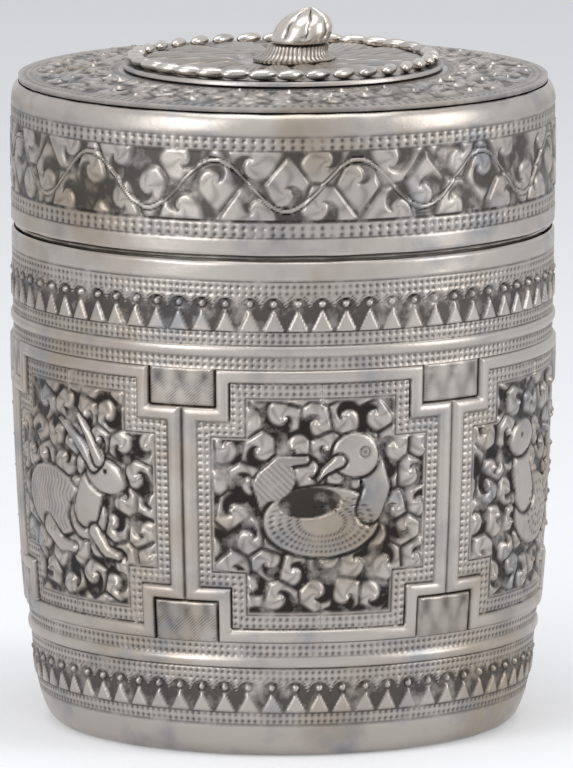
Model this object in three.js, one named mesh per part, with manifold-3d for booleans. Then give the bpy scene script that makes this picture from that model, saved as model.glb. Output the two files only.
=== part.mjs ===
// A betel box of chased silver sheet: a tapered drum on a rounded foot, a plain liner cup whose neck
// stands above it, a lift-out tray hung on the neck, and a slip-over lid with a beaded medallion and
// a leaning bud finial. Six panels, each in a frame with notched corners, go round the drum.
// Millimetres, z up. The box stands on z = 0 with its axis on z, and one panel faces -y.
import * as THREE from "three";
import { mergeVertices } from "three/addons/utils/BufferGeometryUtils.js";
import Module from "manifold-3d";

const wasm = await Module();
wasm.setup();

// Sheets and fits
const chasedSheet = 0.9; // sheet of the case, the lid's side and its top
const plainSheet = 0.8; // sheet of the liner cup, the lid's lining and the tray
const seam = 0.3; // gap left in every soldered or resting seam
const slipFit = 0.4; // radial clearance between the lid's lining and the neck
const trayFit = 0.4; // radial clearance between the tray and the mouth wire

// Case, radii
const lidRadius = 50; // outside of the lid's side
const lidOverhang = 0.2; // how far the lid stands out past the case's mouth
const baseRadius = 41.4; // flat ring under the foot
const footPull = [43.9, 0.5]; // radius and height that draw the foot's curve outwards
const footTop = [45.5, 8.5]; // radius and height where the foot's curve meets the wall
const wallPull = [49.3, 38]; // radius and height that give the wall its swelling
const baseProud = 0.2; // how far the base plate stands below the foot
const lipRounding = 0.4; // rounding of the case's top edge

// Case, heights of the bands from the foot up
const plainFoot = 6.4;
const lowBeads = 2.2;
const lowTeeth = 5.6;
const lowTopBeads = 2.8;
const moulding = 1.9;
const beadsUnderFrame = 2.7;
const frameZone = 50.3;
const beadsOverFrame = 2.4;
const highBeads = 2.6;
const highTeeth = 6.2;
const highTopBeads = 3;
const plainLip = 3.5;

// Case, relief
const panelCount = 6;
const mouldingProud = 0.55;
const frameWidth = 2.4; // width of a frame's ridge
const frameProud = 0.6; // how far the ridge stands out of the wall
const pillarGroove = 0.5; // groove between the ridges of two neighbouring panels
const reliefRoot = 0.45; // how deep the ridges and pads are rooted in the sheet
const padWidth = 12.4; // cross-hatched pad above and below each pillar
const lowPadHeight = 7.4;
const highPadHeight = 6.9;
const padProud = 0.22;

// Neck and tray
const neckHeight = 20.2;
const seatThickness = 0.6;
const seatLap = 0.5; // how far the seat ring stays inside the case's mouth
const mouthWire = 1.3; // width of the wire that stiffens the neck's mouth
const trayDepth = 13.5;
const trayCorner = 2.5;
const trayFlange = 2.4; // width of the tray's out-turned rim
const trayWire = 1.2;

// Lid, heights of the bands from its lower edge up
const lidEdge = 3.4;
const lidLowBeads = 2.9;
const lidScroll = 12.6;
const lidHighBeads = 2.8;
const lidShoulder = 3.7;
const shoulderTurn = 1.5; // how far the lid's shoulder turns in
const topRise = 0.9; // rise of the lid's top from its edge to the medallion
const topFlat = 30; // radius of its flat middle

// Medallion and finial
const medallionRadius = 29.3;
const beadRingRadius = 27.2;
const beadHeight = 2.1;
const beadWidth = 2.6;
const beadCount = 34;
const beadWaist = 0.55; // a bead's waist as a share of its girth
const petalCount = 12;
const petalProud = 0.7;
const skirtRadius = 7.6;
const skirtHeight = 3;
const skirtNeck = 5.6;
const budRadius = 5.4;
const budHeight = 6.4;
const budLobes = 8;
const budGroove = 0.5; // depth of the grooves between the bud's lobes
const finialOffset = 1.8; // the finial stands this far off the axis, towards +x
const finialLean = 0.33; // and leans that way by this much for each unit of height
const pinRadius = 1.2;
const pinGrip = 3; // length of the pin inside the bud
const washerRadius = 3.6;
const washerThickness = 0.6;

// Facets round each kind of piece
const caseFacets = 60;
const plainFacets = 48;
const smallFacets = 24;

// Heights and radii that follow from them
const frameBottom = plainFoot + lowBeads + lowTeeth + lowTopBeads + moulding + beadsUnderFrame;
const frameTop = frameBottom + frameZone;
const lowMouldingBottom = frameBottom - beadsUnderFrame - moulding;
const highMouldingBottom = frameTop + beadsOverFrame;
const caseTop = highMouldingBottom + moulding + highBeads + highTeeth + highTopBeads + plainLip;
const mouthRadius = lidRadius - lidOverhang;
const liningRadius = lidRadius - chasedSheet - seam;
const neckRadius = liningRadius - plainSheet - slipFit;
const seatTop = caseTop + seam + seatThickness;
const lidBottom = seatTop + seam;
const neckTop = seatTop + neckHeight;
const lidSide = lidEdge + lidLowBeads + lidScroll + lidHighBeads;
const lidTopRadius = lidRadius - shoulderTurn;

const silver = (name, color, roughness) =>
  new THREE.MeshStandardMaterial({ name, color, roughness, metalness: 0.95 });
const chasedSilver = silver("chased_silver", 0xa79e95, 0.38);
const plainSilver = silver("plain_silver", 0xbdb6ae, 0.3);
const brightSilver = silver("bright_silver", 0xc9c0b4, 0.25);

// A closed section of [radius, z] points turned round the z axis
function revolve(section, facets) {
  const points = section.map(([radius, z]) => new THREE.Vector2(radius, z));
  if (THREE.ShapeUtils.area(points) < 0) points.reverse();
  const onAxis = points[0].x === 0 && points.at(-1).x === 0;
  if (!onAxis) points.push(points[0].clone());
  return new THREE.LatheGeometry(points, facets).rotateX(Math.PI / 2);
}

// Points of a curve that bends from one [radius, z] point to another, drawn towards a third
function bend(from, pull, to, steps) {
  const [a, b, c] = [from, pull, to].map(([radius, z]) => new THREE.Vector2(radius, z));
  return new THREE.QuadraticBezierCurve(a, b, c).getPoints(steps).map((p) => [p.x, p.y]);
}

// An open outline of [radius, z] points, moved sideways towards its left-hand side
function inset(outline, distance) {
  return outline.map(([radius, z], i) => {
    const [r0, z0] = outline[Math.max(i - 1, 0)];
    const [r1, z1] = outline[Math.min(i + 1, outline.length - 1)];
    const length = Math.hypot(r1 - r0, z1 - z0);
    return [radius - ((z1 - z0) / length) * distance, z + ((r1 - r0) / length) * distance];
  });
}

// The outline's radius at a height, or its height at a radius
function along(outline, value, from, to) {
  const after = outline.findIndex((p) => p[from] >= value);
  if (after < 1) return outline.at(after).at(to);
  const [a, b] = [outline[after - 1], outline[after]];
  return a[to] + ((value - a[from]) / (b[from] - a[from])) * (b[to] - a[to]);
}
const radiusAt = (outline, z) => along(outline, z, 1, 0);

// A closed surface from rows of points; each row closes on itself, and so do the rows when looped
function skin(rows, looped) {
  const across = rows[0].length;
  const index = [];
  const last = looped ? rows.length : rows.length - 1;
  for (let i = 0; i < last; i++)
    for (let j = 0; j < across; j++) {
      const [a, b] = [i * across, ((i + 1) % rows.length) * across];
      const next = (j + 1) % across;
      index.push(a + j, a + next, b + j, b + j, a + next, b + next);
    }
  if (!looped)
    for (let j = 1; j < across - 1; j++) {
      const end = (rows.length - 1) * across;
      index.push(0, j + 1, j, end, end + j, end + j + 1);
    }
  const corners = rows.flat();
  const volume = (k) => corners[index[k]].dot(corners[index[k + 1]].clone().cross(corners[index[k + 2]]));
  let facing = 0;
  for (let k = 0; k < index.length; k += 3) facing += volume(k);
  if (facing < 0) index.reverse();
  const positions = corners.flatMap((p) => [p.x, p.y, p.z]);
  const geometry = new THREE.BufferGeometry();
  geometry.setAttribute("position", new THREE.Float32BufferAttribute(positions, 3));
  return geometry.setIndex(index);
}

function toSolid(geometry) {
  const bare = geometry.clone();
  bare.deleteAttribute("normal");
  bare.deleteAttribute("uv");
  const merged = mergeVertices(bare, 1e-4);
  const mesh = new wasm.Mesh({
    numProp: 3,
    vertProperties: new Float32Array(merged.attributes.position.array),
    triVerts: new Uint32Array(merged.index.array),
  });
  return new wasm.Manifold(mesh);
}

function toGeometry(solid) {
  const { vertProperties, triVerts } = solid.getMesh();
  const geometry = new THREE.BufferGeometry();
  geometry.setAttribute("position", new THREE.BufferAttribute(vertProperties, 3));
  geometry.setIndex(new THREE.BufferAttribute(triVerts, 1));
  geometry.computeVertexNormals();
  return geometry;
}

function piece(name, geometry, material, parent, z = 0) {
  const mesh = new THREE.Mesh(geometry, material);
  mesh.name = name;
  mesh.position.z = z;
  parent.add(mesh);
  return mesh;
}

// Outside of the case from the base up, without its relief
const footCurve = bend([baseRadius, baseProud], footPull, footTop, 5);
const wallCurve = bend(footTop, wallPull, [mouthRadius, caseTop], 12);
const caseOutline = [...footCurve, ...wallCurve.slice(1)];
const caseRadius = (z) => radiusAt(caseOutline, z);

// The case's sheet follows these points, and the liner cup follows them inside it
const panelHeights = [0.2, 0.5, 0.8].map((share) => frameBottom + share * frameZone);
const caseProfile = [
  ...footCurve,
  ...panelHeights.map((z) => [caseRadius(z), z]),
  [mouthRadius, caseTop],
];

// A point on the case's wall, by its distance round the wall from the front and its height
const frameRadius = caseRadius((frameBottom + frameTop) / 2);
function onCase(round, z, proud) {
  const radius = caseRadius(z) + proud;
  const angle = round / frameRadius;
  return new THREE.Vector3(radius * Math.sin(angle), -radius * Math.cos(angle), z);
}

// Outline of one half-round moulding
function mouldingOutline(bottom) {
  return [0, 0.2, 0.5, 0.8, 1].map((share) => {
    const z = bottom + share * moulding;
    return [caseRadius(z) + mouldingProud * Math.sin(share * Math.PI), z];
  });
}

// Wall of the case, with its two mouldings and its rounded lip
function caseWall() {
  const plain = (z) => [caseRadius(z), z];
  const outside = [
    ...footCurve,
    ...mouldingOutline(lowMouldingBottom),
    ...panelHeights.map(plain),
    ...mouldingOutline(highMouldingBottom),
    plain(caseTop - lipRounding),
    [mouthRadius - lipRounding, caseTop],
  ];
  const inside = inset(caseProfile, chasedSheet);
  inside.at(-1)[1] = caseTop;
  return revolve([...outside, ...inside.reverse()], caseFacets);
}

// Ridge of one panel's frame, whose corners step round the pads, as distances from the panel's middle
function frameRidge(panelMiddle) {
  const sector = (2 * Math.PI * frameRadius) / panelCount;
  const half = frameWidth / 2;
  const pillar = sector / 2 - pillarGroove / 2 - half;
  const notch = sector / 2 - padWidth / 2 - seam - half;
  const bottom = frameBottom + half;
  const lowNotch = frameBottom + lowPadHeight + seam + half;
  const highNotch = frameTop - highPadHeight - seam - half;
  const top = frameTop - half;
  const corners = [
    [-notch, bottom],
    [notch, bottom],
    [notch, lowNotch],
    [pillar, lowNotch],
    [pillar, highNotch],
    [notch, highNotch],
    [notch, top],
    [-notch, top],
    [-notch, highNotch],
    [-pillar, highNotch],
    [-pillar, lowNotch],
    [-notch, lowNotch],
  ];
  const facetLength = (2 * Math.PI * frameRadius) / caseFacets;
  const path = corners.flatMap(([round, z], i) => {
    const [nextRound, nextZ] = corners[(i + 1) % corners.length];
    const stepLength = nextZ === z ? facetLength : facetLength * 2.5;
    const steps = Math.ceil(Math.hypot(nextRound - round, nextZ - z) / stepLength);
    const shares = Array.from({ length: steps }, (_, k) => k / steps);
    return shares.map((s) => [round + s * (nextRound - round), z + s * (nextZ - z)]);
  });
  const direction = ([r0, z0], [r1, z1]) => {
    const length = Math.hypot(r1 - r0, z1 - z0);
    return [(r1 - r0) / length, (z1 - z0) / length];
  };
  const rows = path.map((point, i) => {
    const [inRound, inZ] = direction(path.at(i - 1), point);
    const [outRound, outZ] = direction(point, path[(i + 1) % path.length]);
    const mitre = 1 + inRound * outRound + inZ * outZ;
    const across = [(inZ + outZ) / mitre, -(inRound + outRound) / mitre];
    const at = (side, proud) =>
      onCase(panelMiddle + point[0] + across[0] * side, point[1] + across[1] * side, proud);
    return [
      at(half, -reliefRoot),
      at(half * 0.45, frameProud),
      at(-half * 0.45, frameProud),
      at(-half, -reliefRoot),
    ];
  });
  return skin(rows, true);
}

// Raised pad above or below a pillar, which the hatching fills
function pad(pillarMiddle, bottom, height) {
  const columns = 4;
  const rows = [];
  for (let i = 0; i <= columns; i++) {
    const round = pillarMiddle + (i / columns - 0.5) * padWidth;
    rows.push([
      onCase(round, bottom, -reliefRoot),
      onCase(round, bottom + height, -reliefRoot),
      onCase(round, bottom + height, padProud),
      onCase(round, bottom, padProud),
    ]);
  }
  return skin(rows, false);
}

function caseSleeve() {
  let sleeve = toSolid(caseWall());
  const sector = (2 * Math.PI * frameRadius) / panelCount;
  for (let panel = 0; panel < panelCount; panel++) {
    const pillar = (panel + 0.5) * sector;
    sleeve = sleeve.add(toSolid(frameRidge(panel * sector)));
    sleeve = sleeve.add(toSolid(pad(pillar, frameBottom, lowPadHeight)));
    sleeve = sleeve.add(toSolid(pad(pillar, frameTop - highPadHeight, highPadHeight)));
  }
  return toGeometry(sleeve);
}

// Base plate, flush inside the foot's turned-in edge
function basePlate() {
  const radius = inset(caseProfile, chasedSheet)[0][0] - seam;
  const top = baseProud + plainSheet;
  return revolve(
    [
      [0, 0],
      [radius - baseProud, 0],
      [radius, baseProud],
      [radius, top],
      [0, top],
    ],
    plainFacets,
  );
}

// Liner cup, which follows the case inside and rises above it as the neck
function linerCup() {
  const inCase = inset(caseProfile, chasedSheet + seam);
  const followed = inCase.filter(([radius]) => radius < neckRadius);
  const straightFrom = inCase[Math.min(followed.length, inCase.length - 1)][1];
  const outside = [...followed, [neckRadius, straightFrom], [neckRadius, neckTop]];
  const inside = inset(outside, plainSheet);
  inside.at(-1)[1] = neckTop;
  return revolve(
    [[0, outside[0][1]], ...outside, ...inside.reverse(), [0, inside.at(-1)[1]]],
    plainFacets,
  );
}

// Seat ring between the neck and the case's lip, which carries the lid
function seatRing() {
  const inner = neckRadius + seam;
  const outer = mouthRadius - seatLap;
  const [bottom, top] = [caseTop + seam, seatTop];
  return revolve(
    [
      [inner, bottom],
      [outer - seatThickness / 3, bottom],
      [outer, bottom + seatThickness / 2],
      [outer - seatThickness / 3, top],
      [inner, top],
    ],
    plainFacets,
  );
}

// A half-round wire ring whose round side faces in or out
function halfRoundWire(flatRadius, width, height, bottom) {
  const round = [0, 0.25, 0.5, 0.75, 1].map((share) => {
    const out = Math.sin(share * Math.PI) * width * 0.4 + width * 0.6;
    return [flatRadius - out, bottom + share * height];
  });
  return revolve([[flatRadius, bottom], ...round, [flatRadius, bottom + height]], plainFacets);
}

const wireRadius = neckRadius - plainSheet - seam; // outside of the mouth wire

// Tray: a shallow pan, measured from the top of the neck, whose rim rests on it
function trayPan() {
  const radius = wireRadius - mouthWire - trayFit;
  const floor = -trayDepth;
  const corner = bend([radius - trayCorner, floor], [radius, floor], [radius, floor + trayCorner], 3);
  const outside = [...corner, [radius, 0]];
  const inside = inset(outside, plainSheet);
  const rim = radius + trayFlange;
  inside.at(-1)[1] = plainSheet;
  return revolve(
    [
      [0, floor],
      ...outside,
      [rim, 0],
      [rim, plainSheet],
      ...inside.reverse(),
      [0, floor + plainSheet],
    ],
    plainFacets,
  );
}

// Side of the lid, from its lower edge to the turned-in shoulder
function lidSleeve() {
  const shoulder = bend(
    [lidRadius, lidSide],
    [lidRadius, lidSide + lidShoulder * 0.8],
    [lidTopRadius, lidSide + lidShoulder],
    4,
  );
  const outside = [
    [lidRadius - 0.3, 0],
    [lidRadius, 0.4],
    [lidRadius, lidEdge],
    [lidRadius - 0.15, lidEdge + 0.2],
    [lidRadius - 0.15, lidSide - 0.2],
    ...shoulder,
  ];
  const inside = inset(shoulder, chasedSheet);
  inside.at(-1)[1] = lidSide + lidShoulder;
  inside.at(-1)[0] = lidTopRadius - chasedSheet;
  return revolve([...outside, ...inside.reverse(), [lidRadius - chasedSheet, 0]], caseFacets);
}

// Plain lining of the lid, which slides on the neck
function lidLining() {
  const top = lidSide + lidShoulder * 0.3;
  const inner = liningRadius - plainSheet;
  return revolve(
    [
      [inner, 0.3],
      [inner + 0.3, 0],
      [liningRadius, 0],
      [liningRadius, top],
      [inner, top],
    ],
    plainFacets,
  );
}

// Leans and offsets a solid as the finial does, by its height above the medallion
function lean(geometry) {
  const shear = new THREE.Matrix4().makeShear(0, 0, 0, 0, finialLean, 0);
  return geometry.applyMatrix4(shear).translate(finialOffset, 0, 0);
}

const topPlate = lidSide + lidShoulder + seam; // underside of the lid's top at its edge
const flatTop = topPlate + topRise + chasedSheet; // top of its flat middle
const medallionTop = flatTop + seam + chasedSheet;
const budBottom = seam + skirtHeight + seam; // above the medallion

// Hole for the finial's pin, through everything between two heights above the medallion
function pinHole(bottom, top) {
  const radius = pinRadius + seam;
  return lean(
    revolve(
      [
        [0, bottom],
        [radius, bottom],
        [radius, top],
        [0, top],
      ],
      smallFacets,
    ),
  );
}

function drilled(geometry, z, bottom, top) {
  const hole = pinHole(bottom, top).translate(0, 0, medallionTop - z);
  return toGeometry(toSolid(geometry).subtract(toSolid(hole)));
}

// Top of the lid: it rises from its edge and is flat under the medallion
function lidTop() {
  const rise = bend([lidTopRadius, 0], [(lidTopRadius + topFlat) / 2, topRise], [topFlat, topRise], 4);
  const upper = rise.map(([radius, z]) => [radius, z + chasedSheet]);
  const plate = revolve([[0, topRise], ...rise.reverse(), ...upper, [0, topRise + chasedSheet]], caseFacets);
  return drilled(plate, topPlate, topPlate - medallionTop - seam, seam - chasedSheet / 2);
}

// Medallion: a plate with a ring of petals round the finial
function medallion() {
  const across = petalCount * 4;
  const circle = (radius, z, swell) =>
    Array.from({ length: across }, (_, j) => {
      const angle = (j / across) * 2 * Math.PI;
      const lift = swell * petalProud * Math.abs(Math.cos((angle * petalCount) / 2));
      return new THREE.Vector3(radius * Math.sin(angle), -radius * Math.cos(angle), z + lift);
    });
  const inner = skirtRadius + finialOffset + seam;
  const outer = beadRingRadius - beadWidth / 2 - seam;
  const rows = [
    circle(medallionRadius, 0, 0),
    circle(medallionRadius, chasedSheet, 0),
    circle(outer, chasedSheet, 0),
    circle(outer - 1, chasedSheet, 0.8),
    circle((inner + outer) / 2, chasedSheet, 1),
    circle(inner, chasedSheet, 0),
  ];
  return drilled(skin(rows, false), flatTop + seam, -chasedSheet - seam, seam);
}

// Ring of beads soldered to the medallion's edge
function beadRing() {
  const stations = [
    [0, beadWaist],
    [0.3, 1],
    [0.7, 1],
  ];
  const rows = [];
  for (let bead = 0; bead < beadCount; bead++)
    for (const [share, girth] of stations) {
      const angle = ((bead + share) / beadCount) * 2 * Math.PI;
      const row = [];
      for (let k = 0; k < 6; k++) {
        const turn = (k / 6) * 2 * Math.PI + Math.PI / 6;
        const radius = beadRingRadius + (beadWidth / 2) * girth * Math.sin(turn);
        const z = (beadHeight / 2) * (1 - (girth * Math.cos(turn)) / Math.cos(Math.PI / 6));
        row.push(new THREE.Vector3(radius * Math.sin(angle), -radius * Math.cos(angle), z));
      }
      rows.push(row);
    }
  return skin(rows, true);
}

// Flared skirt under the bud
function finialSkirt() {
  const flare = bend([skirtRadius, 0.5], [skirtNeck, 0.9], [skirtNeck, skirtHeight], 4);
  const skirt = revolve([[0, 0], [skirtRadius, 0], ...flare, [0, skirtHeight]], smallFacets * 2);
  return drilled(lean(skirt.translate(0, 0, seam)), medallionTop, -seam, budBottom + seam);
}

// Lobed bud, a blunt dome that swells a little above its foot
function finialBud() {
  const across = budLobes * 4;
  const dome = [
    [0, skirtNeck],
    [0.06, budRadius * 0.98],
    [0.3, budRadius],
    [0.55, budRadius * 0.92],
    [0.78, budRadius * 0.7],
    [0.93, budRadius * 0.4],
    [1, budRadius * 0.15],
  ];
  const rows = dome.map(([share, girth]) =>
    Array.from({ length: across }, (_, j) => {
      const angle = (j / across) * 2 * Math.PI;
      const groove = Math.pow(Math.abs(Math.sin((angle * budLobes) / 2)), 0.6);
      const depth = budGroove * (girth / budRadius) * (share > 0 ? 1 : 0);
      const radius = girth - depth * (1 - groove);
      return new THREE.Vector3(radius * Math.sin(angle), -radius * Math.cos(angle), share * budHeight);
    }),
  );
  const bud = lean(skin(rows, false).translate(0, 0, budBottom));
  return drilled(bud, medallionTop, budBottom - seam, budBottom + pinGrip + seam);
}

// Pin from inside the bud down through the lid's top, with its riveted head below the washer
const washerTop = topPlate + topRise - medallionTop - seam; // above the medallion, so below 0
function finialPin() {
  const headTop = washerTop - washerThickness - seam;
  return lean(
    revolve(
      [
        [0, headTop - pinRadius * 0.6],
        [pinRadius * 1.2, headTop - pinRadius * 0.6],
        [pinRadius * 1.8, headTop],
        [pinRadius, headTop],
        [pinRadius, budBottom + pinGrip],
        [0, budBottom + pinGrip],
      ],
      smallFacets,
    ),
  );
}

function finialWasher() {
  const washer = revolve(
    [
      [pinRadius + seam, washerTop - washerThickness],
      [washerRadius, washerTop - washerThickness],
      [washerRadius, washerTop],
      [pinRadius + seam, washerTop],
    ],
    smallFacets,
  );
  return lean(washer);
}

const box = new THREE.Group();
const caseGroup = new THREE.Group();
const trayGroup = new THREE.Group();
const lidGroup = new THREE.Group();
box.add(caseGroup, trayGroup, lidGroup);
trayGroup.position.z = neckTop + seam;
lidGroup.position.z = lidBottom;

piece("case_sleeve", caseSleeve(), chasedSilver, caseGroup);
piece("base_plate", basePlate(), plainSilver, caseGroup);
piece("liner_cup", linerCup(), plainSilver, caseGroup);
piece("seat_ring", seatRing(), brightSilver, caseGroup);
piece("mouth_wire", halfRoundWire(wireRadius, mouthWire, mouthWire * 1.2, 0), brightSilver, caseGroup, neckTop - mouthWire * 1.2);

piece("tray_pan", trayPan(), plainSilver, trayGroup);
const trayRim = wireRadius - mouthWire - trayFit + trayFlange;
piece("tray_rim_wire", halfRoundWire(trayRim, trayWire, trayWire, 0), brightSilver, trayGroup, plainSheet + seam);

piece("lid_sleeve", lidSleeve(), chasedSilver, lidGroup);
piece("lid_lining", lidLining(), plainSilver, lidGroup);
piece("lid_top", lidTop(), chasedSilver, lidGroup, topPlate);
piece("medallion", medallion(), chasedSilver, lidGroup, flatTop + seam);
piece("bead_ring", beadRing(), brightSilver, lidGroup, medallionTop + seam);
piece("finial_skirt", finialSkirt(), chasedSilver, lidGroup, medallionTop);
piece("finial_bud", finialBud(), brightSilver, lidGroup, medallionTop);
piece("finial_pin", finialPin(), plainSilver, lidGroup, medallionTop);
piece("finial_washer", finialWasher(), plainSilver, lidGroup, medallionTop);

export default box;
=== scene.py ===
"""Betel box of chased silver: the worked surfaces, their finish, and the studio round it.

Reliefs are worked out in millimetres, over the distance round a piece and the distance along its
profile, and become metres when a mesh is made. The front is -Y."""
import math

import bpy
import numpy as np
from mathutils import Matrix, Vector


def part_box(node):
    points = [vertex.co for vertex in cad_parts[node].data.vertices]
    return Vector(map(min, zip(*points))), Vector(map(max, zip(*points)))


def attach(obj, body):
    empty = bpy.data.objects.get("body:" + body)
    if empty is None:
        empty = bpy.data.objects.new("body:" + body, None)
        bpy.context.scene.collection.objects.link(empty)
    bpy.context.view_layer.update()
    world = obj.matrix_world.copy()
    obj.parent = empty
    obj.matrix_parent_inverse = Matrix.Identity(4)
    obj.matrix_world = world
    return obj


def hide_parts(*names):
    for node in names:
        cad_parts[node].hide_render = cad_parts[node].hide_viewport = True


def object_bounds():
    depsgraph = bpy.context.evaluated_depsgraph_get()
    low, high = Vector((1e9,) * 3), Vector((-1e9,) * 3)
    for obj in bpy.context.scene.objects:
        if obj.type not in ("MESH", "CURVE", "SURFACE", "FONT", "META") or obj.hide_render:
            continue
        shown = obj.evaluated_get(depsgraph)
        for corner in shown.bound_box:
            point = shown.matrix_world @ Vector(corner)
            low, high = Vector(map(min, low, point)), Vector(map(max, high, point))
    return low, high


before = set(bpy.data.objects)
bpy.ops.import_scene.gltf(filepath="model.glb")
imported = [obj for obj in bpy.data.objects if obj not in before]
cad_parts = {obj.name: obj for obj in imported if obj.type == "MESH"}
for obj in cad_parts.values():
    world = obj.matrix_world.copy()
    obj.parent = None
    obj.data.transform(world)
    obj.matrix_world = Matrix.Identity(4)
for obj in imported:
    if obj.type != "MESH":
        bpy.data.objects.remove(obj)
cad_low, cad_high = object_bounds()

METRES = 0.001
TURN = 2 * math.pi
LARGEST_RADIUS = cad_high.x / METRES - 0.01

# Heights on the case
CASE_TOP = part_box("case_sleeve")[1].z / METRES
CASE_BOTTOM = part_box("case_sleeve")[0].z / METRES
BASE_RADIUS, MOUTH_RADIUS = 41.4, 49.8
FOOT_PULL, FOOT_TOP, WALL_PULL = (43.9, 0.5), (45.5, 8.5), (49.3, 38.0)
LOW_MOULDING, HIGH_MOULDING, MOULDING = 17.0, 74.3, 1.9
FRAME_BOTTOM, FRAME_TOP = 21.6, 71.9
CASE_ROWS = (6.9, 8.1, 14.9, 16.1, 19.6, 20.8, 72.6, 73.7, 77.0, 78.2, 85.8, 87.0)
CASE_LINES = (6.2, 8.6, 14.3, 16.8, 78.8, 85.2, 88.0)
LOW_TEETH, HIGH_TEETH = (8.8, 12.4, 67), (79.0, 83.1, 71)

CASE_DOTS = 246
FOOT_EDGE, NECK_EDGE = 6.0, 88.2

# Panels, as distances from a panel's middle, round the case's mean radius
CASE_RADIUS = 49.0
CASE_ROUND = TURN * CASE_RADIUS
PANELS = 6
PANEL_LEAF, FIRST_SEED = 6.1, 11
PAD_WIDTH, LOW_PAD, HIGH_PAD = 12.4, 7.4, 6.9
RIDGE, SEAM = 2.4, 0.3

# Lid
LID_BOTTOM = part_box("lid_sleeve")[0].z / METRES
LID_TOP_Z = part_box("lid_sleeve")[1].z / METRES
LID_RADIUS, LID_TURN, SHOULDER = 50.0, 1.5, 3.7
LID_ROUND = TURN * LID_RADIUS
LID_SET_BACK = 0.14
VOLUTES, LID_DOTS = 24, 176
CROWN_WIDTH, CROWN_LEAF, CROWN_SEED, CROWN_DOTS, CROWN_SHARE = 19.0, 5.6, 5, 180, 0.8
LEAVES, SKIRT_LINES, LOBES = 14, 44, 8
SHEET = 0.9


def smooth(x):
    """0 below 0, 1 above 1, and an even rise between."""
    x = np.clip(x, 0, 1)
    return x * x * (3 - 2 * x)


def groove(distance, width, depth):
    """A cut line: its relief and how dark it lies."""
    cut = np.exp(-((distance / width) ** 2))
    return -depth * cut, cut


def half_round(distance, half):
    return np.sqrt(np.clip(1 - (distance / half) ** 2, 0, 1))


def punched(run, across, pitch, radius=0.36, depth=0.3):
    """A row of punched dots along run: relief and darkness."""
    off = run - pitch * np.round(run / pitch)
    dent = np.exp(-((off**2 + across**2) / radius**2))
    return -depth * dent, dent


class Relief:
    """Height above the plain sheet, and how black it lies at every point of a grid: black oxide in the
    cuts, and painted shade under the bead ring.
    """

    def __init__(self, like):
        self.high = np.zeros_like(like)
        self.dark = np.zeros_like(like)

    def cut(self, pair, where=1.0):
        high, dark = pair
        self.high += high * where
        self.dark = np.maximum(self.dark, dark * where)

    def lay(self, high, dark, share):
        """Covers what is there by a share of something new."""
        self.high += (high - self.high) * share
        self.dark += (dark - self.dark) * share


def scatter(width, height, cell, seed):
    """Middles of leaves, staggered and a little uneven, over width by height."""
    chance = np.random.default_rng(seed)
    rows = max(1, round(height / (cell * 0.87)))
    columns = max(1, round(width / cell))
    middles = []
    for row in range(rows):
        for column in range(columns):
            across = (column + 0.25 + 0.5 * (row % 2)) * width / columns
            up = (row + 0.5) * height / rows
            jitter = chance.uniform(-0.2, 0.2, 2) * cell
            turn = chance.uniform(0, TURN)
            hand = (-1) ** (row + column)
            middles.append((across + jitter[0], up + jitter[1], turn, hand))
    return middles


def foliage(run, up, middles, cell, period=None):
    """Comma leaves that curl round their own middles, with black between them."""
    first = np.full_like(run, 1e3)
    second = np.full_like(run, 1e3)
    swirl = np.zeros_like(run)
    near = np.zeros_like(run)
    for across, height, turn, hand in middles:
        dx = run - across
        if period:
            dx = dx - period * np.round(dx / period)
        dy = up - height
        distance = np.hypot(dx, dy)
        closer = distance < first
        second = np.where(closer, first, np.minimum(second, distance))
        phase = hand * np.arctan2(dy, dx) + turn - 2.6 * np.log(distance / cell + 0.12)
        swirl = np.where(closer, phase, swirl)
        near = np.where(closer, distance, near)
        first = np.where(closer, distance, first)
    inside = smooth((second - first) / (0.22 * cell))
    lobe = 0.5 + 0.5 * np.cos(swirl)
    eye = smooth((0.13 * cell - near) / 0.4)
    vein = 0.5 + 0.5 * np.sin(swirl * 5 + near * 3.5)
    body = inside * smooth((lobe - 0.12) / 0.3)
    high = 0.62 * body * (0.55 + 0.45 * lobe) + 0.35 * eye - 0.07 * vein * body
    dark = np.clip(1 - body - eye, 0, 1) + 0.42 * vein**3 * body
    return high, np.clip(dark, 0, 1)


def teeth(relief, s, z, band):
    """Plain pointed teeth, each with a dot on its point and a double scalloped line over it."""
    bottom, top, count = band
    pitch = CASE_ROUND / count
    off = s - pitch * np.round(s / pitch)
    rise = (z - bottom) / (top - bottom)
    here = smooth((z - bottom + 0.15) / 0.2) * smooth((top + 2.4 - z) / 0.3)
    edge = 0.44 * pitch * (1 - rise) - np.abs(off)
    tooth = smooth(edge / 0.35) * smooth((rise + 0.02) / 0.04)
    ground_lines = 0.5 + 0.5 * np.sin(s * 9)
    relief.lay(-0.12 - 0.06 * ground_lines, 0.85, here * (1 - tooth))
    relief.lay(0.26, 0.0, here * tooth)
    dot = np.hypot(off, z - top - 0.75)
    relief.lay(0.3, 0.0, smooth((0.62 - dot) / 0.25))
    relief.cut(groove(dot - 0.85, 0.2, 0.2))
    arch = bottom + 0.86 * (top - bottom) + 2.35 * half_round(off, pitch / 2)
    between = smooth((z - arch + 0.25) / 0.3) * here
    relief.lay(0.05, 0.1, between)
    relief.cut(groove(z - arch, 0.2, 0.2), here)
    relief.cut(groove(z - arch - 0.65, 0.16, 0.16), here)


def ellipse(x, z, middle, radii, lean=0.0):
    """Distance inside an ellipse, in millimetres and negative outside, and its dome."""
    c, s = math.cos(lean), math.sin(lean)
    dx, dz = x - middle[0], z - middle[1]
    u, v = (c * dx + s * dz) / radii[0], (c * dz - s * dx) / radii[1]
    rim = np.hypot(u, v)
    return (1 - rim) * min(radii), np.sqrt(np.clip(1 - rim**2, 0, 1))


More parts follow.
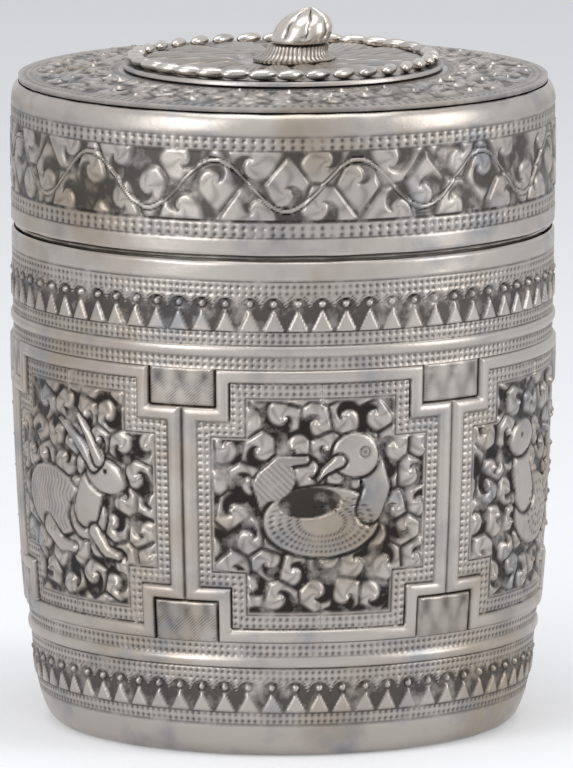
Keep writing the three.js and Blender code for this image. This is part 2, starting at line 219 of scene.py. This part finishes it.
def limb(x, z, points, width, end_width):
    """A tapering limb along a line of points: distance inside it, and its dome."""
    best = np.full_like(x, -1e3)
    dome = np.zeros_like(x)
    for i in range(len(points) - 1):
        (ax, az), (bx, bz) = points[i], points[i + 1]
        length = math.hypot(bx - ax, bz - az)
        along = np.clip(((x - ax) * (bx - ax) + (z - az) * (bz - az)) / length**2, 0, 1)
        off = np.hypot(x - ax - along * (bx - ax), z - az - along * (bz - az))
        share = (i + along) / (len(points) - 1)
        half = width + (end_width - width) * share
        dome = np.where(half - off > best, half_round(off, half), dome)
        best = np.maximum(best, half - off)
    return best, dome


def raise_form(relief, form, high, dark=0.08):
    """A raised form with a black line round it."""
    inside, dome = form
    relief.lay(relief.high * 0.5, 1.0, smooth((inside + 0.75) / 0.5))
    relief.lay(high * (0.35 + 0.65 * dome), dark, smooth(inside / 0.35))


def bird(relief, x, z):
    """A water bird coiled with its head turned back over its dotted body."""
    raise_form(relief, limb(x, z, [(-9, 46), (-11, 51), (-8, 55), (-3, 55.5)], 2.1, 0.8), 0.8, 0.3)
    raise_form(relief, ellipse(x, z, (0, 44.1), (10.8, 6.6)), 1.0)
    raise_form(relief, limb(x, z, [(9, 46), (10.4, 50), (9.4, 53.5), (6.2, 56)], 2.5, 2.6), 1.0, 0.15)
    raise_form(relief, ellipse(x, z, (6.2, 56.2), (4.4, 4.2)), 1.1)
    raise_form(relief, limb(x, z, [(3.2, 55.2), (0.6, 53.4), (-0.6, 51.8)], 1.2, 0.3), 0.9)
    hollow = ellipse(x, z, (-2.2, 47.6), (6.2, 3.0), 0.1)
    relief.lay(0.2, 0.95, smooth(hollow[0] / 0.4))
    body = ellipse(x, z, (0, 44.1), (10.2, 6.0))
    turn = np.arctan2(z - 47, x) * 9.5
    for ring in range(4):
        across = body[0] - 0.6 - 0.95 * ring
        relief.cut(punched(turn, across, 1.0, 0.3, 0.25), smooth(body[0] / 0.2) * (z < 48.5))
    relief.cut(groove(np.hypot(x - 7.8, z - 56.8) - 0.9, 0.25, 0.25))
    relief.lay(0.9, 1.0, smooth((0.5 - np.hypot(x - 7.8, z - 56.8)) / 0.2))
    comb = 0.5 + 0.5 * np.sin((x + z) * 5)
    wing = ellipse(x, z, (-8.5, 51.5), (4.2, 3.4), 0.6)
    relief.lay(0.75 - 0.12 * comb, 0.1 + 0.5 * comb**2, smooth(wing[0] / 0.4))


def hare(relief, x, z):
    """A crouching hare that faces right, with its ears laid back."""
    raise_form(relief, ellipse(x, z, (-6.5, 44.5), (9.5, 6.4), -0.15), 1.0)
    raise_form(relief, ellipse(x, z, (4.2, 42.5), (5.0, 4.2), 0.2), 0.9)
    raise_form(relief, limb(x, z, [(4, 44), (5.5, 48), (7.5, 50.5)], 3.4, 2.9), 0.95)
    raise_form(relief, ellipse(x, z, (9.2, 50.6), (4.9, 3.2), -0.3), 1.1)
    raise_form(relief, limb(x, z, [(6.4, 52.6), (2, 56.8), (-2.5, 60)], 1.5, 0.5), 0.9)
    raise_form(relief, limb(x, z, [(7.6, 53.4), (5, 58), (2.4, 61.5)], 1.3, 0.45), 0.85)
    raise_form(relief, limb(x, z, [(6, 40), (9, 36.5), (11.6, 36)], 1.5, 0.8), 0.85)
    raise_form(relief, limb(x, z, [(-8, 39.5), (-4, 36.6), (0, 36.2)], 2.0, 0.9), 0.85)
    coat = 0.5 + 0.5 * np.sin(x * 6 + 2.2 * np.sin(z * 1.4))
    body = ellipse(x, z, (-6.5, 44.5), (9.0, 5.9), -0.15)
    relief.cut((-0.1 * coat, 0.55 * coat**2), smooth(body[0] / 0.4))
    relief.lay(0.85, 1.0, smooth((0.62 - np.hypot(x - 9.6, z - 51.6)) / 0.2))


def rosette_beast(relief, x, z):
    """A small beast with a rosette of dots on its haunch."""
    raise_form(relief, ellipse(x, z, (2, 41.5), (8.6, 6.6)), 0.95)
    raise_form(relief, limb(x, z, [(-3, 45), (-5, 50), (-4, 54)], 3.6, 2.8), 0.95)
    raise_form(relief, ellipse(x, z, (-5.4, 55.6), (4.4, 3.3), 0.3), 1.05)
    raise_form(relief, limb(x, z, [(8.5, 45), (11.5, 50), (10, 55), (6.5, 56)], 1.5, 0.6), 0.8)
    ring = np.hypot(x - 3, z - 41.5)
    turn = np.arctan2(z - 41.5, x - 3)
    for radius, count in ((1.6, 8), (3.2, 14), (4.8, 21)):
        relief.cut(punched(turn * radius, ring - radius, TURN * radius / count, 0.32, 0.25))
    relief.lay(1.1, 0.0, smooth((0.9 - ring) / 0.3))
    relief.lay(0.85, 1.0, smooth((0.55 - np.hypot(x + 6.2, z - 56.2)) / 0.2))


def panels(relief, s, z):
    """Six framed panels of foliage with a creature in each, and hatched pads between them."""
    sector = CASE_ROUND / PANELS
    number = np.round(s / sector)
    x = s - number * sector
    half = RIDGE / 2
    notch = sector / 2 - PAD_WIDTH / 2 - SEAM - half
    pillar = sector / 2 - 0.25 - half
    low, high = FRAME_BOTTOM + half, FRAME_TOP - half
    low_step, high_step = FRAME_BOTTOM + LOW_PAD + SEAM + half, FRAME_TOP - HIGH_PAD - SEAM - half
    tall = (np.abs(x) - notch, np.abs(z - (low + high) / 2) - (high - low) / 2)
    wide = (np.abs(x) - pillar, np.abs(z - (low_step + high_step) / 2) - (high_step - low_step) / 2)
    in_tall, in_wide = np.maximum(*tall), np.maximum(*wide)
    distance = np.minimum(in_tall, in_wide)
    upright = np.where(in_tall < in_wide, tall[0] > tall[1], wide[0] > wide[1])
    run = np.where(upright, z, x)
    here = smooth((z - FRAME_BOTTOM + 0.05) / 0.1) * smooth((FRAME_TOP + 0.05 - z) / 0.1)

    field = smooth((-distance - 4.3) / 0.35) * here
    carved = Relief(s)
    makers = (bird, rosette_beast, hare)
    for panel in range(PANELS):
        mine = (number % PANELS) == panel
        if not mine.any():
            continue
        part = Relief(x[mine])
        middles = scatter(2 * pillar, high - low, PANEL_LEAF, FIRST_SEED + panel)
        part.high, part.dark = foliage(x[mine] + pillar, z[mine] - low, middles, PANEL_LEAF)
        makers[panel % len(makers)](part, x[mine], z[mine])
        carved.high[mine], carved.dark[mine] = part.high, part.dark
    relief.lay(carved.high - 0.2, carved.dark, field)
    relief.cut(groove(distance + 4.1, 0.18, 0.2), here)
    for row in (1.95, 3.2):
        relief.cut(punched(run, distance + row, 1.25), here)
    across = x - sector * np.sign(x) / 2
    pad_height = np.maximum(FRAME_BOTTOM + LOW_PAD - z, z - FRAME_TOP + HIGH_PAD)
    pad = np.minimum(PAD_WIDTH / 2 - np.abs(across), pad_height)
    cuts = np.maximum(np.sin((across + z) * 10.5), np.sin((across - z) * 10.5)) ** 3
    cuts = np.clip(cuts, 0, 1)
    relief.lay(0.3 - 0.1 * cuts, 0.15 + 0.55 * cuts, smooth(pad / 0.3) * here)
    relief.cut(groove(pad + 0.1, 0.2, 0.2), here * (pad > -0.6))
    bar = half_round(distance, half)
    relief.cut(groove(np.abs(distance) - half - 0.1, 0.18, 0.25), here)
    relief.lay(0.12 + 0.62 * bar, 0.0, smooth(bar / 0.25) * here)


def case_relief(s, z):
    relief = Relief(s)
    if z.max() > FRAME_BOTTOM and z.min() < FRAME_TOP:
        panels(relief, s, z)
    for row in CASE_ROWS:
        relief.cut(punched(s, z - row, CASE_ROUND / CASE_DOTS))
    for line in CASE_LINES:
        relief.cut(groove(z - line, 0.16, 0.16))
    for band in (LOW_TEETH, HIGH_TEETH):
        if z.max() > band[0] and z.min() < band[1] + 3:
            teeth(relief, s, z, band)
    for bottom in (LOW_MOULDING, HIGH_MOULDING):
        off = z - bottom - MOULDING / 2
        relief.cut(groove(np.abs(off) - MOULDING / 2 - 0.05, 0.16, 0.16))
        bar = half_round(off, MOULDING / 2)
        relief.lay(0.42 * bar, 0.0, smooth(bar / 0.3))
    plain = smooth((FOOT_EDGE - z) / 0.5) + smooth((z - NECK_EDGE) / 0.5)
    turn = s / CASE_RADIUS
    hammer = np.sin(21 * turn + 1.3 * np.sin(z / 1.7)) * np.sin(z / 1.6 + 5 * turn)
    relief.high += 0.06 * hammer * plain
    return relief


def lid_side_relief(s, z):
    """Hammered edge, punched rows, a running scroll of volutes, and the plain shoulder."""
    relief = Relief(s)
    up = z - LID_BOTTOM
    bottom, top = 6.3, 18.9
    cell = 13.1
    pitch = LID_ROUND / VOLUTES
    middles = []
    for i in range(VOLUTES):
        side = (-1) ** i
        middles.append(((i + 0.5) * pitch, (bottom + top) / 2 + 1.3 * side, i * 1.1, side))
        middles.append((i * pitch, (bottom + top) / 2 - 3.9 * side, i * 0.7, -side))
        middles.append((i * pitch + 0.8, (bottom + top) / 2 + 4.3 * side, i * 2.3, side))
    high, dark = foliage(s, up, middles, cell * 0.62, LID_ROUND)
    field = smooth((up - bottom) / 0.3) * smooth((top - up) / 0.3)
    relief.lay(high * 1.05 - 0.3, dark * 0.85, field)
    stem = (bottom + top) / 2 + 4.6 * np.sin(math.pi * s / pitch)
    for off in (-0.5, 0.5):
        relief.cut(groove(up - stem - off, 0.22, 0.22), field)
    relief.lay(0.22, 0.0, smooth((0.42 - np.abs(up - stem)) / 0.2) * field * 0.8)
    for row in (3.7, 4.95, 19.5, 20.75):
        relief.cut(punched(s, up - row, LID_ROUND / LID_DOTS, 0.44, 0.3))
    for line in (3.2, 5.9, 6.25, 18.95, 21.5):
        relief.cut(groove(up - line, 0.16, 0.18))
    plain = smooth((3.1 - up) / 0.4) + smooth((up - 21.7) / 0.4)
    turn = s / LID_RADIUS
    hammer = np.sin(16 * turn + 1.7 * np.sin(5 * turn)) * np.cos(up / 1.5 + np.sin(10 * turn))
    relief.high += 0.09 * hammer * plain
    relief.high = np.minimum(relief.high, LID_SET_BACK)
    return relief


def lid_top_relief(s, along):
    """Scroll foliage between punched borders, from the lid's edge inwards."""
    relief = Relief(s)
    ring = LID_ROUND * CROWN_SHARE
    middles = scatter(ring, 13.6, CROWN_LEAF, CROWN_SEED)
    s = s * CROWN_SHARE
    high, dark = foliage(s, along - 3.1, middles, CROWN_LEAF, ring)
    field = smooth((along - 3.0) / 0.3) * smooth((CROWN_WIDTH - 2.4 - along) / 0.3)
    relief.lay(high * 0.9 - 0.25, dark * 0.85, field)
    for row in (1.3, 2.4, CROWN_WIDTH - 1.5):
        relief.cut(punched(s, along - row, ring / CROWN_DOTS, 0.4, 0.3))
    for line in (0.5, 2.95, CROWN_WIDTH - 2.3, CROWN_WIDTH - 0.7):
        relief.cut(groove(along - line, 0.16, 0.18))
    return relief


def medallion_relief(s, along):
    """Large lotus leaves that run from the beads in towards the finial."""
    relief = Relief(s)
    turn = s / LID_RADIUS
    off = np.abs((turn * LEAVES / TURN) % 1 - 0.5) * 2
    reach = smooth((along - 2.6) / 3) * smooth((22.5 - along) / 3)
    leaf = half_round(off, 0.93) * reach
    vein = 0.5 + 0.5 * np.sin(turn * LEAVES * 7 + along * 1.3)
    relief.lay(0.85 * leaf - 0.1 * vein, 0.12 + 0.5 * vein**3, smooth(leaf / 0.3))
    relief.cut(groove(off - 0.97, 0.1, 0.2), reach)
    relief.cut(groove(along - 2.4, 0.2, 0.2))
    # Painted shade: a dark band under and just outside the bead ring, where the beads would shade the
    # plate.
    relief.dark = np.maximum(relief.dark, 0.8 * smooth((3.4 - along) / 1.2) * smooth((along - 0.6) / 0.6))
    return relief


def skirt_relief(s, along):
    """Fine curved lines round the flare."""
    relief = Relief(s)
    lines = 0.5 + 0.5 * np.sin(s / LID_RADIUS * SKIRT_LINES + along * 1.5)
    on = smooth((along - 0.5) / 0.3)
    relief.high = -0.14 * lines**2 * on
    relief.dark = 0.9 * lines**3 * on
    return relief


def bud_relief(s, along):
    """Eight lobes with dark grooves, and bright facets between them."""
    relief = Relief(s)
    turn = s / LID_RADIUS * LOBES + 0.25 * np.sin(along * 2)
    off = np.abs(np.sin(turn / 2))
    on = smooth((along - 4.3) / 0.6) * smooth((13.2 - along) / 1.5)
    relief.high = -0.42 * (1 - off) ** 2 * on
    relief.dark = 0.85 * smooth((0.35 - off) / 0.3) * on
    return relief


def new_piece(name, data):
    piece = bpy.data.objects.new(name, data)
    bpy.context.scene.collection.objects.link(piece)
    return piece


def paint_mesh(name, points, faces, dark):
    """A smooth mesh that carries how black it lies at each point: black oxide in the cuts, and painted
    shade inside the sheet and under the bead ring.
    """
    mesh = bpy.data.meshes.new(name)
    mesh.from_pydata((np.asarray(points) * METRES).tolist(), [], faces)
    # This attribute holds black oxide in the cuts and painted shade inside the sheets and under the bead
    # ring.
    layer = mesh.attributes.new("oxide_and_shade", "FLOAT", "POINT")
    layer.data.foreach_set("value", np.asarray(dark, np.float32))
    mesh.shade_smooth()
    mesh.set_sharp_from_angle(angle=math.radians(75))
    mesh.validate()
    return new_piece(name, mesh)


def turned(name, profile, columns, relief_at, wall=0.0, lean=None, round_by=LID_RADIUS, by_height=False):
    """A worked sheet turned round the z axis. Its profile runs so that the outside is on its right.

    With a wall it is a ring of sheet, and without one it is closed by a face at each end. Its relief
    is drawn over the distance round a circle of radius round_by."""
    profile = np.asarray(profile, float)
    step = np.gradient(profile, axis=0)
    step /= np.linalg.norm(step, axis=1)[:, None]
    outward = np.stack([step[:, 1], -step[:, 0]], 1)
    along = np.concatenate([[0], np.cumsum(np.linalg.norm(np.diff(profile, axis=0), axis=1))])
    turns = np.arange(columns) / columns * TURN
    s = np.repeat((turns * round_by)[None], len(profile), 0)
    v = np.repeat((profile[:, 1] if by_height else along)[:, None], columns, 1)
    relief = relief_at(s, v)
    rows = profile[:, None, :] + outward[:, None, :] * relief.high[:, :, None]
    dark = relief.dark
    if wall:
        backs = profile[[-1, 0]] - outward[[-1, 0]] * wall
        rows = np.concatenate([rows, np.repeat(backs[:, None, :], columns, 1)])
        # Painted shade: the inside of each sheet and its cut edges, such as the gap under the lid, are
        # blackened to 0.6 as if in shadow.
        dark = np.concatenate([dark, np.full((2, columns), 0.6)])
    radius = np.clip(rows[..., 0], 0.01, LARGEST_RADIUS)
    points = np.stack([radius * np.sin(turns), -radius * np.cos(turns), rows[..., 1]], -1)
    if lean:
        foot, shift, slope = lean
        points[..., 0] += shift + slope * (points[..., 2] - foot)
    count = len(rows)
    index = np.arange(count * columns).reshape(count, columns)
    following = np.roll(index, -1, 1)
    above, above_next = np.roll(index, -1, 0), np.roll(following, -1, 0)
    rings = np.stack([index, following, above_next, above], -1)
    if wall:
        faces = rings.reshape(-1, 4).tolist()
    else:
        faces = rings[:-1].reshape(-1, 4).tolist()
        faces.append(index[0][::-1].tolist())
        faces.append(index[-1].tolist())
    return paint_mesh(name, points.reshape(-1, 3), faces, dark.reshape(-1))


def curve_through(start, pull, end, steps):
    """Points on a bend from start to end, drawn towards pull."""
    t = np.linspace(0, 1, steps)[:, None]
    a, b, c = (np.array(p, float) for p in (start, pull, end))
    return (1 - t) ** 2 * a + 2 * t * (1 - t) * b + t**2 * c


def case_profile(bottom, top, rows):
    foot = curve_through((BASE_RADIUS, CASE_BOTTOM), FOOT_PULL, FOOT_TOP, 60)
    wall = curve_through(FOOT_TOP, WALL_PULL, (MOUTH_RADIUS, CASE_TOP), 200)
    line = np.concatenate([foot, wall[1:]])
    heights = np.linspace(bottom, top, rows)
    radii = np.interp(heights, line[:, 1], line[:, 0])
    radii = np.where(CASE_TOP - heights < 0.4, radii - 0.4 + (CASE_TOP - heights), radii)
    return np.stack([radii, heights], 1)


def lid_profile():
    edge = [(LID_RADIUS - 0.35, LID_BOTTOM), (LID_RADIUS - LID_SET_BACK, LID_BOTTOM + 0.35)]
    side = [(LID_RADIUS - LID_SET_BACK, h) for h in np.linspace(LID_BOTTOM + 0.6, LID_TOP_Z - SHOULDER, 68)]
    start, end = side[-1], (LID_RADIUS - LID_TURN, LID_TOP_Z)
    shoulder = curve_through(start, (LID_RADIUS - LID_SET_BACK, LID_TOP_Z - 0.7), end, 14)
    return np.concatenate([edge, side, shoulder[1:]])


def feed(tree, socket, what):
    """Links a socket where another is given, and sets it where a value is."""
    if isinstance(what, bpy.types.NodeSocket):
        tree.links.new(what, socket)
    else:
        socket.default_value = what


def value(tree, kind, **settings):
    """A node with its inputs fed by name."""
    node = tree.nodes.new(kind)
    for name, what in settings.items():
        feed(tree, node.inputs[name.replace("_", " ")], what)
    return node


def reckoned(tree, operation, *terms):
    """What a math node makes of its terms."""
    node = tree.nodes.new("ShaderNodeMath")
    node.operation = operation
    for socket, term in zip(node.inputs, terms):
        feed(tree, socket, term)
    return node.outputs[0]


def bare_tree(owner):
    """The node tree of a new material or world, with nothing in it."""
    owner.use_nodes = True
    owner.node_tree.nodes.clear()
    return owner.node_tree


def ramp(tree, source, low, high):
    """A rise from 0 at low to 1 at high."""
    node = value(tree, "ShaderNodeMapRange", Value=source, From_Min=low, From_Max=high)
    return node.outputs["Result"]


# Where a mix node holds its share and two colours, and where it gives the mixed one
MIX_INPUTS, MIX_RESULT = (0, 6, 7), 2


def mixed(tree, share, first, second):
    """One colour that gives way to another as share rises."""
    node = tree.nodes.new("ShaderNodeMix")
    node.data_type = "RGBA"
    for place, what in zip(MIX_INPUTS, (share, first, second)):
        feed(tree, node.inputs[place], what)
    return node.outputs[MIX_RESULT]


def noise(tree, place, scale, detail=4.0, rough=0.55):
    node = value(tree, "ShaderNodeTexNoise", Vector=place, Scale=scale, Detail=detail, Roughness=rough)
    return node.outputs["Fac"]


# The near-black colour is the real oxide in the cuts and also painted shade inside the sheets and under the
# bead ring.
BLACK_OXIDE_AND_SHADE, GREY_BLOOM = (0.028, 0.024, 0.022, 1), (0.27, 0.275, 0.29, 1)
PATCHES, BLOOM_PATCHES, OXIDE_AND_SHADE_PATCHES, GRAIN = 38, 90, 260, 900


def silver(name, clean, tarnish, oxide_and_shade=True, roughness=0.3, tarnish_from=0.5):
    """Silver with warm tarnish in patches, grey bloom, scratches, and black oxide where it is cut, whose
    black also paints shade inside the sheets and under the bead ring.
    """
    material = bpy.data.materials.new(name)
    tree = bare_tree(material)
    place = tree.nodes.new("ShaderNodeTexCoord").outputs["Object"]
    tarnished = ramp(tree, noise(tree, place, PATCHES), tarnish_from, tarnish_from + 0.2)
    colour = mixed(tree, tarnished, clean, tarnish)
    colour = mixed(tree, ramp(tree, noise(tree, place, BLOOM_PATCHES), 0.52, 0.75), colour, GREY_BLOOM)
    # Blackens by the attribute: oxide in the cuts, painted shade inside the sheets and under the bead ring.
    if oxide_and_shade:
        depth = tree.nodes.new("ShaderNodeAttribute")
        depth.attribute_name = "oxide_and_shade"
        uneven = ramp(tree, noise(tree, place, OXIDE_AND_SHADE_PATCHES), 0.2, 0.5)
        oxide_and_shade_share = reckoned(tree, "MULTIPLY", depth.outputs["Fac"], uneven)
        colour = mixed(tree, oxide_and_shade_share, colour, BLACK_OXIDE_AND_SHADE)
    grain = noise(tree, place, GRAIN, 6, 0.65)
    rub = value(tree, "ShaderNodeMapRange", Value=ramp(tree, grain, -0.6, 1.4),
                To_Min=roughness - 0.08, To_Max=roughness + 0.16)
    bump = value(tree, "ShaderNodeBump", Height=grain, Strength=0.35, Distance=0.00012)
    shader = value(tree, "ShaderNodeBsdfPrincipled", Base_Color=colour, Metallic=0.96,
                   Roughness=rub.outputs["Result"], Normal=bump.outputs["Normal"])
    value(tree, "ShaderNodeOutputMaterial", Surface=shader.outputs["BSDF"])
    return material


chased = silver("chased_silver", (0.46, 0.423, 0.389, 1), (0.345, 0.29, 0.23, 1))
plain = silver("plain_silver", (0.5, 0.465, 0.425, 1), (0.355, 0.3, 0.23, 1), oxide_and_shade=False, roughness=0.26)
bright = silver("bright_silver", (0.57, 0.525, 0.48, 1), (0.41, 0.345, 0.276, 1),
                roughness=0.2, tarnish_from=0.62)


def settle(piece, material, body, slot, *nodes):
    """Gives a piece its finish and its body, and hides the nodes that it stands in for. Its slot is not
    used.
    """
    piece.data.materials.clear()
    piece.data.materials.append(material)
    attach(piece, body)
    if nodes:
        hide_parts(*nodes)
    return piece


# The case, in four strips that meet at its own lines
COLUMNS = 960
MIDDLE = (FRAME_BOTTOM + FRAME_TOP) / 2
strips = (
    ("case_foot", CASE_BOTTOM, FRAME_BOTTOM, 78),
    ("case_panels_low", FRAME_BOTTOM, MIDDLE, 88),
    ("case_panels_high", MIDDLE, FRAME_TOP, 88),
    ("case_neck_band", FRAME_TOP, CASE_TOP, 72),
)
for strip, bottom, top, rows in strips:
    sheet = turned(strip, case_profile(bottom, top, rows), COLUMNS, case_relief, SHEET,
                   round_by=CASE_RADIUS, by_height=True)
    nodes = ["case_sleeve"] if strip == "case_foot" else []
    settle(sheet, chased, "box", "chased_silver", *nodes)

lid_side = turned("lid_side", lid_profile(), COLUMNS, lid_side_relief, SHEET, by_height=True)
settle(lid_side, chased, "lid", "chased_silver", "lid_sleeve")

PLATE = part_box("lid_top")
CROWN_LOW, CROWN_TOP = PLATE[0].z / METRES, PLATE[1].z / METRES
rise = curve_through((48.5, CROWN_LOW + SHEET), (39, CROWN_TOP), (30, CROWN_TOP), 56)
rise = np.concatenate([rise, [(29, CROWN_TOP), (8, CROWN_TOP)]])
lid_crown = turned("lid_crown", rise, 720, lid_top_relief, SHEET)
settle(lid_crown, chased, "lid", "chased_silver", "lid_top")

MEDAL_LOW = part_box("medallion")[0].z / METRES
MEDAL_TOP = MEDAL_LOW + SHEET
flat = [(29.3, MEDAL_LOW + 0.1), (29.3, MEDAL_TOP - 0.1)]
flat += [(r, MEDAL_TOP) for r in np.linspace(29.1, 4, 80)]
boss = turned("medallion_leaves", flat, 560, medallion_relief, 0.7)
settle(boss, chased, "lid", "chased_silver", "medallion")

LEAN = (MEDAL_TOP, 1.8, 0.33)
PIN_HOLE = 1.6
SKIRT_LOW = MEDAL_TOP + 0.3
SKIRT_TOP = SKIRT_LOW + 3
flare = curve_through((7.6, SKIRT_LOW + 0.5), (5.6, SKIRT_LOW + 0.9), (5.6, SKIRT_TOP), 34)
under, over = [(PIN_HOLE, SKIRT_LOW), (7.4, SKIRT_LOW)], [(5.3, SKIRT_TOP), (PIN_HOLE, SKIRT_TOP)]
flare = np.concatenate([under, flare, over])
skirt = turned("finial_flare", flare, 264, skirt_relief, lean=LEAN)
settle(skirt, chased, "lid", "chased_silver", "finial_skirt")

BUD_LOW = SKIRT_LOW + 3.3
dome = curve_through((5.25, BUD_LOW + 0.3), (6.2, BUD_LOW + 5.0), (0.3, BUD_LOW + 6.35), 48)
bud_line = np.concatenate([[(PIN_HOLE, BUD_LOW), (5.0, BUD_LOW)], dome])
bud = turned("finial_lobes", bud_line, 240, bud_relief, lean=LEAN)
settle(bud, bright, "lid", "bright_silver", "finial_bud")


BEADS, BEAD_SEGMENTS, BEAD_RINGS = 34, 20, 12


def bead_tree():
    """A ring of slanted beads: each is an oval set on a circle and turned along it."""
    tree = bpy.data.node_groups.new("bead_ring", "GeometryNodeTree")
    face = tree.interface
    face.new_socket("Geometry", in_out="OUTPUT", socket_type="NodeSocketGeometry")
    inputs = {
        "Count": "Int",
        "Ring Radius": "Float",
        "Bead Size": "Vector",
        "Height": "Float",
        "Slant": "Float",
        "Finish": "Material",
    }
    for name, kind in inputs.items():
        face.new_socket(name, in_out="INPUT", socket_type="NodeSocket" + kind)
    given = tree.nodes.new("NodeGroupInput").outputs
    ring = value(tree, "GeometryNodeMeshCircle", Vertices=given["Count"], Radius=given["Ring Radius"])
    lift = value(tree, "ShaderNodeCombineXYZ", Z=given["Height"])
    raised = value(tree, "GeometryNodeSetPosition",
                   Geometry=ring.outputs["Mesh"], Offset=lift.outputs["Vector"])
    bead = value(tree, "GeometryNodeMeshUVSphere", Segments=BEAD_SEGMENTS, Rings=BEAD_RINGS)
    number = tree.nodes.new("GeometryNodeInputIndex").outputs["Index"]
    share = reckoned(tree, "DIVIDE", number, given["Count"])
    turn = reckoned(tree, "MULTIPLY_ADD", share, TURN, given["Slant"])
    facing = value(tree, "ShaderNodeCombineXYZ", Z=turn)
    placed = value(tree, "GeometryNodeInstanceOnPoints",
                   Points=raised.outputs["Geometry"], Instance=bead.outputs["Mesh"],
                   Rotation=facing.outputs["Vector"], Scale=given["Bead Size"])
    real = value(tree, "GeometryNodeRealizeInstances", Geometry=placed.outputs["Instances"])
    finish = value(tree, "GeometryNodeSetMaterial",
                   Geometry=real.outputs["Geometry"], Material=given["Finish"])
    value(tree, "NodeGroupOutput", Geometry=finish.outputs["Geometry"])
    return tree


def grown(name, tree, settings):
    """What a tree makes, as a plain mesh."""
    maker = new_piece(name + "_maker", bpy.data.meshes.new(name + "_maker"))
    modifier = maker.modifiers.new("grow", "NODES")
    modifier.node_group = tree
    for item in tree.interface.items_tree:
        if item.in_out == "INPUT":
            modifier[item.identifier] = settings[item.name]
    seen = maker.evaluated_get(bpy.context.evaluated_depsgraph_get())
    mesh = bpy.data.meshes.new_from_object(seen)
    mesh.name = name
    mesh.shade_smooth()
    bpy.data.objects.remove(maker)
    return new_piece(name, mesh)


beads = grown("medallion_beads", bead_tree(), {
    "Count": BEADS,
    "Ring Radius": 27.1 * METRES,
    "Bead Size": (1.15 * METRES, 2.75 * METRES, 1.02 * METRES),
    "Height": (MEDAL_TOP + 1.05) * METRES,
    "Slant": 0.42,
    "Finish": bright,
})
settle(beads, bright, "lid", "bright_silver", "bead_ring")

replaced = {"case_sleeve", "lid_sleeve", "lid_top", "medallion", "bead_ring", "finial_skirt", "finial_bud"}
for name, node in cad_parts.items():
    if name not in replaced:
        node.data.materials.clear()
        node.data.materials.append(plain)

# The studio: a flat pale floor under an even pale sky, open on every side
FLOOR_RADIUS, FLOOR_SIDES, FLOOR_GLOW = 4.0, 64, 0.3
PALE, PAPER = (0.87, 0.88, 0.9, 1), (0.78, 0.785, 0.8, 1)
SKY_COLOUR, SKY_POWER = (0.72, 0.73, 0.76, 1), 0.45


def two_faced(tree, light, pale):
    """Lights the box as one shader. The camera, metal and clear pieces see the other."""
    path = tree.nodes.new("ShaderNodeLightPath").outputs
    shown = path["Is Camera Ray"]
    for kind in ("Is Glossy Ray", "Is Transmission Ray"):
        shown = reckoned(tree, "MAXIMUM", shown, path[kind])
    node = tree.nodes.new("ShaderNodeMixShader")
    for socket, what in zip(node.inputs, (shown, light, pale)):
        tree.links.new(what, socket)
    return node.outputs["Shader"]


def floor():
    turns = [i / FLOOR_SIDES * TURN for i in range(FLOOR_SIDES)]
    points = [(FLOOR_RADIUS * math.cos(turn), FLOOR_RADIUS * math.sin(turn), 0.0) for turn in turns]
    mesh = bpy.data.meshes.new("floor")
    mesh.from_pydata(points, [], [list(range(FLOOR_SIDES))])
    piece = new_piece("floor", mesh)
    material = bpy.data.materials.new("pale_paper")
    tree = bare_tree(material)
    paper = value(tree, "ShaderNodeBsdfDiffuse", Color=PAPER).outputs["BSDF"]
    glow = value(tree, "ShaderNodeEmission", Color=PALE, Strength=FLOOR_GLOW).outputs["Emission"]
    both = tree.nodes.new("ShaderNodeAddShader")
    tree.links.new(paper, both.inputs[0])
    tree.links.new(glow, both.inputs[1])
    value(tree, "ShaderNodeOutputMaterial", Surface=two_faced(tree, paper, both.outputs["Shader"]))
    mesh.materials.append(material)


def sky():
    world = bpy.data.worlds.new("studio")
    bpy.context.scene.world = world
    tree = bare_tree(world)
    light = value(tree, "ShaderNodeBackground", Color=SKY_COLOUR, Strength=SKY_POWER)
    pale = value(tree, "ShaderNodeBackground", Color=PALE, Strength=1.0)
    shown = two_faced(tree, light.outputs["Background"], pale.outputs["Background"])
    value(tree, "ShaderNodeOutputWorld", Surface=shown)


def softbox(name, place, aim, size, power):
    lamp = bpy.data.lights.new(name, "AREA")
    lamp.shape = "RECTANGLE"
    lamp.size, lamp.size_y = size
    lamp.energy = power
    holder = new_piece(name, lamp)
    holder.location = place
    direction = Vector(aim) - Vector(place)
    holder.rotation_euler = direction.to_track_quat("-Z", "Y").to_euler()


floor()
sky()
middle = (0, 0, 0.065)
softbox("left_softbox", (-0.9, -0.7, 0.55), middle, (0.5, 0.9), 5.5)
softbox("right_softbox", (0.95, -0.5, 0.45), middle, (0.35, 0.8), 3.7)
softbox("top_softbox", (0.0, -0.1, 1.1), middle, (0.9, 0.7), 5.5)

# The camera, at the photo's angle: the middle panel lies a little to its right
PICTURE, FILM_WIDTH = (573, 768), 36
PIXELS_PER_METRE = 5440
AXIS_PIXEL, CENTRE_HEIGHT = 283, 0.0617
AZIMUTH, ELEVATION, DISTANCE = math.radians(-8.2), math.radians(8.9), 2.164
camera = bpy.data.cameras.new("camera")
camera.sensor_width = FILM_WIDTH
camera.lens = FILM_WIDTH * DISTANCE / (PICTURE[1] / PIXELS_PER_METRE)
camera.shift_x = (PICTURE[0] / 2 - AXIS_PIXEL) / PICTURE[1]
viewer = new_piece("camera", camera)
back = Vector((
    math.sin(AZIMUTH) * math.cos(ELEVATION),
    -math.cos(AZIMUTH) * math.cos(ELEVATION),
    math.sin(ELEVATION),
))
viewer.location = Vector((0, 0, CENTRE_HEIGHT)) + back * DISTANCE
viewer.rotation_euler = (-back).to_track_quat("-Z", "Y").to_euler()
bpy.context.scene.camera = viewer
bpy.context.scene.view_settings.view_transform = "Standard"
